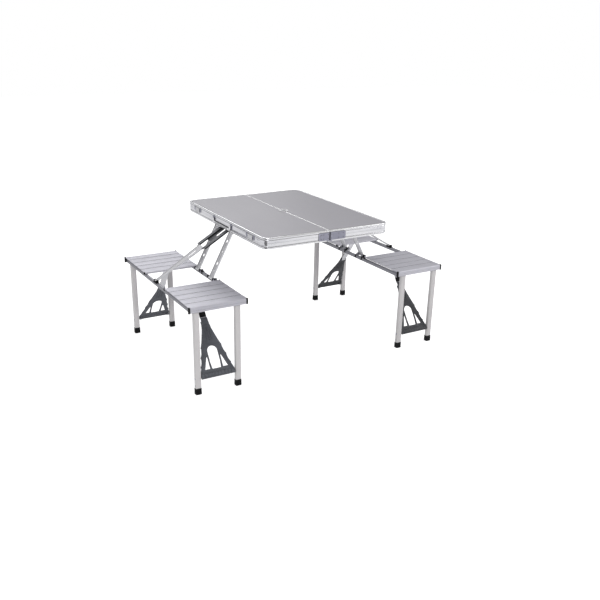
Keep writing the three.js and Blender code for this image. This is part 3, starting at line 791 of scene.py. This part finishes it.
def build_hinge_shells(name, side, end_name, end, foot):
    """Black moulded hinge blocks on the inner rail, outside each pair of strut lugs, and the pin heads."""
    rail_xs = extent(name + "_inner_rail")[0]
    strut_ys = extent(f"{name}_{end_name}_strut")[1]
    bm = bmesh.new()
    for y, face in ((strut_ys[0] - 5 * MM, -1), (strut_ys[1] + 5 * MM, 1)):
        near, far = sorted((y + face * 0.2 * MM, y + face * 9 * MM))
        pad(bm, (rail_xs[0] - 0.8 * MM, rail_xs[0] + 13 * MM), (near - 2 * MM, far + 2 * MM),
            (RAIL_TOP - 14 * MM, RAIL_TOP + 2 * MM), 2.5 * MM, 1 * MM)
        cheek = round_rect((foot.x - 7 * MM, foot.x + 6 * MM), (foot.z - 5 * MM, foot.z + 7.2 * MM), 4 * MM)
        prism(bm, "y", (near, far - 3 * MM if face > 0 else far), cheek)
    add_piece(f"{name}_{end_name}_hinge_block", bm, name + "_bench", "black_plastic", side, end,
              bevel=0.5 * MM)
    bm = bmesh.new()
    for y, face in ((strut_ys[0] - 14 * MM, -1), (strut_ys[1] + 11 * MM, 1)):
        dome(bm, "y", (foot.x, y, foot.z), 3.4 * MM, 1.8 * MM * face)
    add_piece(f"{name}_{end_name}_hinge_pins", bm, name + "_bench", "zinc_steel", side, end)


def build_fittings(name, side, arm_foot, stay_top, strut_top):
    """Dark fittings at the foot of the arm, and at the stay and strut pivots on the case wall."""
    bm = bmesh.new()
    for face in (-1, 1):
        near, far = sorted((face * 10.6 * MM, face * 15 * MM))
        cheek = round_rect(around(arm_foot.x, 7 * MM), around(arm_foot.z, 6 * MM), 4 * MM)
        prism(bm, "y", (near, far), cheek)
        dome(bm, "y", (arm_foot.x, face * 15 * MM, arm_foot.z), 3 * MM, face * 1.6 * MM)
    pad(bm, around(arm_foot.x, 7.4 * MM), (-22 * MM, 22 * MM), (RAIL_TOP - 4 * MM, RAIL_TOP + 1.4 * MM),
        3 * MM)
    add_piece(name + "_arm_fitting", bm, name + "_bench", "black_plastic", side, bevel=0.5 * MM)
    bm = bmesh.new()
    for face in (-1, 1):
        dome(bm, "y", (stay_top.x, face * 33.3 * MM, stay_top.z), 3.4 * MM, face * 1.8 * MM)
        rod(bm, "y", (stay_top.x, face * 29.4 * MM, stay_top.z), 3 * MM, 0, face * 4.2 * MM, 16)
        dome(bm, "y", (strut_top.x, face * 103 * MM, strut_top.z), 4.2 * MM, face * 2 * MM)
    add_piece(name + "_pivot_heads", bm, name + "_case", "dark_steel", side)


# ---------------- the benches

def build_seat(name, side, end_name, end):
    """A seat of five crowned slats with fine lines, a deep rounded front edge, and black end caps."""
    node = f"{name}_{end_name}_seat"
    xs, ys, zs = extent(node)
    top = zs[1]
    pitch = (ys[1] - ys[0]) / SEAT_SLATS
    points = [(ys[0], top - 9 * MM), (ys[0], top - 2.2 * MM), (ys[0] + 0.7 * MM, top - 0.9 * MM)]
    for slat in range(SEAT_SLATS):
        start = ys[0] + slat * pitch
        for share in (0.045, 0.1, 0.22, 0.24, 0.26, 0.42, 0.5, 0.58, 0.74, 0.76, 0.78, 0.9, 0.955):
            crown = 0.7 * MM * (1 - (2 * share - 1) ** 2)
            line = 0.5 * MM if share in (0.24, 0.76) else 0
            if slat == SEAT_SLATS - 1 and share > 0.9:
                continue
            points.append((start + share * pitch, top - 0.75 * MM + crown - line))
        if slat < SEAT_SLATS - 1:
            for offset in (-2.1, 2.1):
                points.append((start + pitch + offset * MM, top - 2.7 * MM))
    for step in range(6):
        angle = radians(90 - 18 * step)
        points.append((ys[1] - 5 * MM + 5 * MM * cos(angle), top - 5.6 * MM + 5 * MM * sin(angle)))
    face = [(0, 398), (0.6, 397), (0.6, 395.6), (0, 394.6), (0, 388.4), (0.8, 386.6), (2.2, 386)]
    face += [(6, 386), (6, 388), (3, 388.4), (3, 404), (6, 408.8)]
    points += [(ys[1] - u * MM, z * MM) for u, z in face]
    points += [(ys[0] + 3 * MM, top - 3.2 * MM), (ys[0] + 3 * MM, top - 9 * MM)]
    bm = bmesh.new()
    prism(bm, "x", xs, points)
    lug = extent(f"{name}_{end_name}_brace_link")[0]
    hinge = pivot(f"{name}_{end_name}_link_fold")
    for x in ((lug[0] - 7 * MM, lug[0] - 3 * MM), (lug[1] + 3 * MM, lug[1] + 7 * MM)):
        outline = [(hinge.y - 8 * MM, top - 3.4 * MM), (hinge.y + 8 * MM, top - 3.4 * MM)]
        outline += [(hinge.y + 5 * MM, hinge.z - 2 * MM), (hinge.y, hinge.z - 5 * MM)]
        outline += [(hinge.y - 5 * MM, hinge.z - 2 * MM)]
        prism(bm, "x", x, outline)
    pin_length = lug[1] - lug[0] + 14.8 * MM
    rod(bm, "x", (lug[0] - 7.4 * MM, hinge.y, hinge.z), 2.5 * MM, 0, pin_length, 16)
    add_piece(node + "_deck", bm, name + "_bench", "seat_aluminium", side, end, stands_for=[node],
              bevel=0.25 * MM, smooth=30)
    outer, inner = (ys[1] - 7.4 * MM, ys[1] + 1.4 * MM), (ys[0] - 1 * MM, ys[0] + 6 * MM)
    for kind, back, out, across, low, high, radius, crown in (
            ("_end_caps", 5 * MM, 3.4 * MM, outer, RAIL_LOW - 1 * MM, top + 0.9 * MM, 2.2 * MM, 1.4 * MM),
            ("_corner_caps", 4 * MM, 2.4 * MM, inner, top - 10 * MM, top + 0.7 * MM, 2 * MM, 1 * MM)):
        bm = bmesh.new()
        for x, face in ((xs[0], -1), (xs[1], 1)):
            pad(bm, sorted((x - face * back, x + face * out)), across, (low, high), radius, crown)
        add_piece(node + kind, bm, name + "_bench", "black_plastic", side, end, bevel=0.3 * MM)
    bm = bmesh.new()
    for x in (xs[0] + 6 * MM, xs[1] - 11 * MM):
        for slat in range(SEAT_SLATS):
            dome(bm, "z", (x, ys[0] + (slat + 0.5) * pitch, top - 3.1 * MM), 2.4 * MM, -1 * MM)
    add_piece(node + "_rivets", bm, name + "_bench", "zinc_steel", side, end)


def build_rails(name, side):
    """The two bench rails as rounded tubes with black plugs in their ends."""
    for rail, middle in RAIL_MIDDLES.items():
        node = f"{name}_{rail}"
        ys = extent(node)[1]
        tube = round_rect(around(middle, RAIL_HALF), (RAIL_LOW, RAIL_TOP), 2 * MM)
        bm = bmesh.new()
        prism(bm, "y", ys, tube)
        if rail == "inner_rail":
            add_lugs(bm, name, middle)
        else:
            foot = pivot(name + "_arm_fold")
            lug = round_rect(around(foot.x, 5 * MM), (RAIL_TOP - 2 * MM, LUG_TOP), 3 * MM)
            for span in ((7.5 * MM, 10.5 * MM), (-10.5 * MM, -7.5 * MM)):
                prism(bm, "y", span, lug)
            rod(bm, "y", (foot.x, -11 * MM, foot.z), 2.6 * MM, 0, 22 * MM, 16)
        # The rail tubes take the darkened steel: painted shade.
        add_piece(node + "_tube", bm, name + "_bench", "bright_aluminium", side, look="rail_steel_painted_shade",
                  stands_for=[node], bevel=0.3 * MM)
        bm = bmesh.new()
        reach = RAIL_HALF - 1 * MM
        plug = round_rect(around(middle, reach), (RAIL_LOW + 1 * MM, RAIL_TOP - 1 * MM), 2 * MM)
        for face in (-1, 1):
            prism(bm, "y", sorted((face * (ys[1] - 1 * MM), face * (ys[1] + 2.4 * MM))), plug)
        add_piece(node + "_plugs", bm, name + "_bench", "black_plastic", side, bevel=0.4 * MM)


def add_lugs(bm, name, middle):
    """The lugs on the inner rail that the feet of the struts turn in, with their pins."""
    foot = pivot(name + "_bench_level")
    strut_ys = extent(name + "_back_strut")[1]
    lug = round_rect((middle - RAIL_HALF, foot.x + 5 * MM), (RAIL_TOP - 1.4 * MM, LUG_TOP), 3.4 * MM)
    inner, outer = strut_ys[0] - 5 * MM, strut_ys[1] + 5 * MM
    for face in (-1, 1):
        for near, far in ((inner, inner + 4 * MM), (outer - 4 * MM, outer)):
            prism(bm, "y", sorted((face * near, face * far)), lug)
        rod(bm, "y", (foot.x, face * inner, foot.z), 3 * MM, 0, face * (outer - inner), 16)


def build_legs(name, side, end_name, end):
    """Two round-cornered tubes on one cross shaft, with a stub for the brace and pin heads on each."""
    node = f"{name}_{end_name}_legs"
    xs = extent(node)[0]
    hinge = pivot(f"{name}_{end_name}_leg_fold")
    bm = bmesh.new()
    pins = bmesh.new()
    for which, inward in (("inner", 1), ("outer", -1)):
        foot_xs, foot_ys, foot_zs = extent(f"{name}_{end_name}_foot_{which}")
        tube = (foot_xs[0] + 1 * MM, foot_xs[1] - 1 * MM)
        outline = round_rect(tube, around(hinge.y, 10 * MM), 4.5 * MM, 5)
        prism(bm, "z", (foot_zs[1] - 4 * MM, hinge.z + 4 * MM), outline)
        inner, outer = (tube[1], tube[0]) if inward > 0 else tube
        rod(bm, "x", (inner - inward * 1 * MM, hinge.y, BRACE_PIN_Z), 4 * MM, 0, inward * 5 * MM, 18)
        head_x = outer + inward * 0.2 * MM
        dome(pins, "x", (head_x, hinge.y, BRACE_PIN_Z), 4 * MM, -inward * 1.6 * MM)
        for z in (hinge.z, foot_zs[1] + 12 * MM):
            dome(pins, "x", (head_x, hinge.y, z), 3 * MM, -inward * 1.4 * MM)
        build_foot(name, side, end_name, end, which, foot_xs, foot_ys, foot_zs)
    rod(bm, "x", (xs[0], hinge.y, hinge.z), 4.5 * MM, 0, xs[1] - xs[0], 20)
    add_piece(node + "_tubes", bm, node, "leg_enamel", side, end, stands_for=[node], bevel=0.4 * MM)
    add_piece(node + "_pins", pins, node, "zinc_steel", side, end)


def build_foot(name, side, end_name, end, which, xs, ys, zs):
    """A moulded boot over the end of a leg: a collar, two grip lines, and a spread sole."""
    node = f"{name}_{end_name}_foot_{which}"
    middle = sum(xs) / 2, sum(ys) / 2
    half = (xs[1] - xs[0]) / 2 + 0.2 * MM, (ys[1] - ys[0]) / 2 + 0.2 * MM
    height = zs[1] - zs[0]
    levels = [(0, 0.86), (0.02, 0.95), (0.08, 1.0), (0.2, 1.0), (0.23, 0.965), (0.28, 0.965)]
    levels += [(0.31, 0.99), (0.5, 0.985), (0.53, 0.955), (0.58, 0.955), (0.61, 0.98), (0.93, 0.97)]
    levels += [(0.98, 0.95), (1, 0.9)]
    bm = bmesh.new()
    rings = []
    for share, width in levels:
        u, v = half[0] * width, half[1] * width
        ring = round_rect(around(middle[0], u), around(middle[1], v), 4.5 * MM * width)
        rings.append([(x, y, zs[0] + share * height) for x, y in ring])
    loft(bm, rings)
    add_piece(node + "_boot", bm, f"{name}_{end_name}_legs", "black_plastic", side, end, stands_for=[node])


def mirrored(points):
    """An outline drawn for its right half, closed by the mirror image of that half."""
    return points + [(-u, v) for u, v in reversed(points)]


def build_brace(name, side, end_name, end):
    """The moulded brace: a stepped triangle with a rolled rim, a slot, two windows, ribs and a top cover."""
    prefix = f"{name}_{end_name}"
    node = prefix + "_brace_panel"
    top, knee = pivot(prefix + "_link_fold"), pivot(prefix + "_knee_fold")
    hinge = pivot(prefix + "_leg_fold")
    base = Vector((top.x, hinge.y, BRACE_PIN_Z))
    tip = (knee - base).length
    frame_at = along_yz(base, knee)
    edge = [(79, -9.5), (80, -8), (80, 12), (78, 18), (71, 36), (72, 42), (68, 49), (63, 60)]
    edge += [(60, 76), (61, 84), (57, 91), (53, 99), (48, 121), (49, 128), (45, 136), (40, 148)]
    edge += [(30, 180), (22, 206)]
    outline = mirrored(scaled(edge) + [(17 * MM, tip - 5 * MM)])
    arch = scaled([(22, 26), (25, 56), (25, 106)])
    for step in range(1, 10):
        angle = radians(9 * step)
        arch.append((25 * MM * cos(angle), (106 + 25 * sin(angle)) * MM))
    slot = mirrored(arch + [(0.5 * MM, 131.1 * MM)])
    pane = [(29.5, 28), (57, 28), (52, 40), (45, 60), (36, 84), (32, 84), (30, 79)]
    panes = [scaled(pane), scaled([(-u, v) for u, v in pane])]
    bm = bmesh.new()
    bm.from_mesh(curve_mesh([outline, slot, *panes], 2.4 * MM, 0.8 * MM))
    bm.from_mesh(curve_mesh([inset_outline(outline, 1.2 * MM)], 0.0, 1.9 * MM, flat=False))
    face = -5.2 * MM
    bm.transform(Matrix.Translation((0, 0, face)))
    deep, shallow = around(face, 4.8 * MM), around(face, 4.4 * MM)
    for u, v0, v1 in ((0, 156, 214), (-12, 160, 205), (12, 160, 205)):
        pad(bm, ((u - 1.2) * MM, (u + 1.2) * MM), (v0 * MM, v1 * MM), deep, 0.8 * MM)
    for v0, v1 in ((-9.4, -6.4), (12, 14.4)):
        pad(bm, (-77 * MM, 77 * MM), (v0 * MM, v1 * MM), around(face, 4.9 * MM), 0.8 * MM)
    for u in range(-64, 65, 16):
        pad(bm, ((u - 1) * MM, (u + 1) * MM), (-8 * MM, 13 * MM), shallow, 0.6 * MM)
    pad(bm, (-16 * MM, 16 * MM), (tip - 12 * MM, tip + 19 * MM), (-10 * MM, -5.8 * MM), 3 * MM, 0.4 * MM)
    for turn in (-1, 1):
        ear = sorted((turn * 13 * MM, turn * 17 * MM))
        prism(bm, "x", ear, round_rect((tip - 12 * MM, tip + 4 * MM), (-10.3 * MM, 3 * MM), 3 * MM))
        hub = (turn * 77 * MM, 0, 0)
        rod(bm, "x", hub, 6.4 * MM, -8 * MM * turn, 2.6 * MM * turn, 18)
    bm.transform(frame_at)
    # The right braces take the darker copy of the grey plastic as painted shade; the left ones keep the plain
    # grey.
    look = "grey_plastic_painted_shade" if side > 0 else "grey_plastic"
    add_piece(node + "_moulding", bm, prefix + "_panel", "grey_plastic", side, end, look=look,
              stands_for=[node])
    bm = bmesh.new()
    for turn in (-1, 1):
        dome(bm, "x", (turn * 16.9 * MM, tip, 0), 3 * MM, 1.4 * MM * turn)
    add_piece(node + "_pins", bm, prefix + "_panel", "zinc_steel", side, end, at=frame_at)
    build_link(prefix, side, end, top, knee)


def inset_outline(points, amount):
    """The same closed outline, moved inwards by about the given amount."""
    centre_u = sum(u for u, v in points) / len(points)
    centre_v = sum(v for u, v in points) / len(points)
    moved = []
    for u, v in points:
        reach = hypot(u - centre_u, v - centre_v)
        moved.append((u - (u - centre_u) / reach * amount, v - (v - centre_v) / reach * amount))
    return moved


def build_link(prefix, side, end, top, knee):
    """The bright link: a dished strap with a dark grip strip above its knuckle."""
    node = prefix + "_brace_link"
    frame_at = along_yz(top, knee)
    length = (knee - top).length
    last = length / MM
    bm = bmesh.new()
    strap = [(16, 6), (16, 60), (14.5, 80), (14.5, last - 40), (16, last - 30), (16, last - 21)]
    strap += [(12.5, last - 17), (12.5, last)]
    bm.from_mesh(curve_mesh([mirrored(scaled(strap))], 0.9 * MM, 0.4 * MM))
    bm.transform(Matrix.Translation((0, 0, 1.7 * MM)))
    for turn in (-1, 1):
        near, far = sorted((turn * 12 * MM, turn * 14.4 * MM))
        pad(bm, (near, far), (14 * MM, length - 18 * MM), (0.6 * MM, 4.4 * MM), 0.8 * MM)
    rod(bm, "x", (-12.5 * MM, length, 0), 3 * MM, 0, 25 * MM, 18)
    prism(bm, "x", (-16 * MM, 16 * MM), round_rect((-5 * MM, 7 * MM), (-4 * MM, 5 * MM), 3.6 * MM))
    add_piece(node + "_strap", bm, prefix + "_link", "bright_aluminium", side, end,
              look="satin_aluminium", stands_for=[node], bevel=0.3 * MM, at=frame_at)
    bm = bmesh.new()
    pad(bm, (-15.4 * MM, 15.4 * MM), (length - 46 * MM, length - 24 * MM), (1.2 * MM, 5.2 * MM),
        1.6 * MM, 0.8 * MM)
    add_piece(node + "_strip", bm, prefix + "_link", "dark_steel", side, end, look="black_plastic",
              at=frame_at)


for side_name, side_sign in SIDES:
    build_case(side_name, side_sign)
    build_linkage(side_name, side_sign)
    build_rails(side_name, side_sign)
    for seat_end, seat_sign in ENDS:
        build_seat(side_name, side_sign, seat_end, seat_sign)
        build_legs(side_name, side_sign, seat_end, seat_sign)
        build_brace(side_name, side_sign, seat_end, seat_sign)
for latch_end, latch_sign in ENDS:
    build_latch(latch_end, latch_sign)
    build_catch(latch_end, latch_sign)
build_handle()


# ---------------- stage, light and camera

def build_stage():
    """A plain pale floor, which lights the underside of the table less than the camera sees it."""
    mesh = bpy.data.meshes.new("floor")
    half = 14.0
    corners = [(-half, -half, 0), (half, -half, 0), (half, half, 0), (-half, half, 0)]
    mesh.from_pydata([Vector(c) - Vector((0, 0, 0.0004)) for c in corners], [], [(0, 1, 2, 3)])
    floor = into_scene("floor", mesh)
    material, tree, shader, coords = new_material("floor_paper", 0.0, 0.9)
    paper = ramp(tree, noise(tree, coords, 3.0), (0.9, 0.9, 0.9), (0.93, 0.93, 0.93))
    path = tree.nodes.new("ShaderNodeLightPath")
    tone = mix(tree, path.outputs["Is Camera Ray"], (0.5, 0.5, 0.51), paper)
    tree.links.new(tone, shader.inputs["Base Color"])
    shader.inputs["Emission Color"].default_value = (1, 1, 1, 1)
    glow = mix(tree, path.outputs["Is Camera Ray"], (0.36, 0.36, 0.36), (0.62, 0.62, 0.62))
    tree.links.new(glow, shader.inputs["Emission Strength"])
    mesh.materials.append(material)


def build_flag(name, place, width, height, heading):
    """A dark card out of the camera's sight, which the round corners of the case pick up as a reflection."""
    mesh = bpy.data.meshes.new(name)
    half = width / 2
    mesh.from_pydata([(-half, 0, 0), (half, 0, 0), (half, 0, height), (-half, 0, height)], [], [(0, 1, 2, 3)])
    flag = into_scene(name, mesh)
    flag.location = place
    flag.rotation_euler = (0, 0, radians(heading))
    material, tree, shader, coords = new_material(name, 0.0, 0.9)
    tone = ramp(tree, noise(tree, coords, 4.0), (0.01, 0.01, 0.01), (0.03, 0.03, 0.03))
    tree.links.new(tone, shader.inputs["Base Color"])
    mesh.materials.append(material)
    flag.visible_camera = False
    flag.visible_shadow = False
    flag.visible_diffuse = False


def add_light(name, place, size, power):
    """A square soft box, aimed at the middle of the table."""
    data = bpy.data.lights.new(name, "AREA")
    data.shape = "SQUARE"
    data.size = size
    data.energy = power
    light = into_scene(name, data)
    light.location = place
    light.rotation_euler = (LIGHTS_AIM_AT - Vector(place)).to_track_quat("-Z", "Y").to_euler()


def build_world(horizon, zenith):
    """A studio dome, dimmer at the horizon than overhead, that the camera itself sees as plain white."""
    world = bpy.data.worlds.new("studio")
    world.use_nodes = True
    tree = world.node_tree
    coords = tree.nodes.new("ShaderNodeTexCoord")
    split = tree.nodes.new("ShaderNodeSeparateXYZ")
    tree.links.new(coords.outputs["Generated"], split.inputs["Vector"])
    dome_tone = ramp(tree, split.outputs["Z"], horizon, zenith, 0.05, 0.75)
    path = tree.nodes.new("ShaderNodeLightPath")
    seen = mix(tree, path.outputs["Is Camera Ray"], dome_tone, (1.0, 1.0, 1.0))
    tree.links.new(seen, tree.nodes["Background"].inputs["Color"])
    SCENE.world = world


def build_camera():
    """The camera stands to the front left of the table, a little above it, and looks down at it."""
    place = Vector((-1.768, -3.113, 1.504))
    heading, pitch, roll = radians(31.19), radians(22.08), radians(1.33)
    ahead, drop = cos(pitch), sin(pitch)
    forward = Vector((sin(heading) * ahead, cos(heading) * ahead, -drop))
    level = forward.cross(Vector((0, 0, 1))).normalized()
    upright = level.cross(forward)
    right = level * cos(roll) + upright * sin(roll)
    up = upright * cos(roll) - level * sin(roll)
    data = bpy.data.cameras.new("camera")
    data.sensor_width = 36.0
    data.lens = 44.41
    data.shift_x = -0.0019
    data.shift_y = 0.0457
    camera = into_scene("camera", data)
    camera.matrix_world = Matrix.Translation(place) @ Matrix((right, up, -forward)).transposed().to_4x4()
    SCENE.camera = camera


build_stage()
build_world(0.16, 0.62)
add_light("key", (-2.6, -3.0, 3.0), 2.0, 62)
add_light("fill", (3.4, -2.2, 2.2), 2.6, 48)
add_light("back", (0.8, 3.4, 3.0), 2.4, 38)
build_flag("corner_flag", (-0.95, -0.75, 0.0), 0.46, 0.66, -59)
SCENE.view_settings.view_transform = "Standard"
build_camera()

bpy.context.view_layer.update()
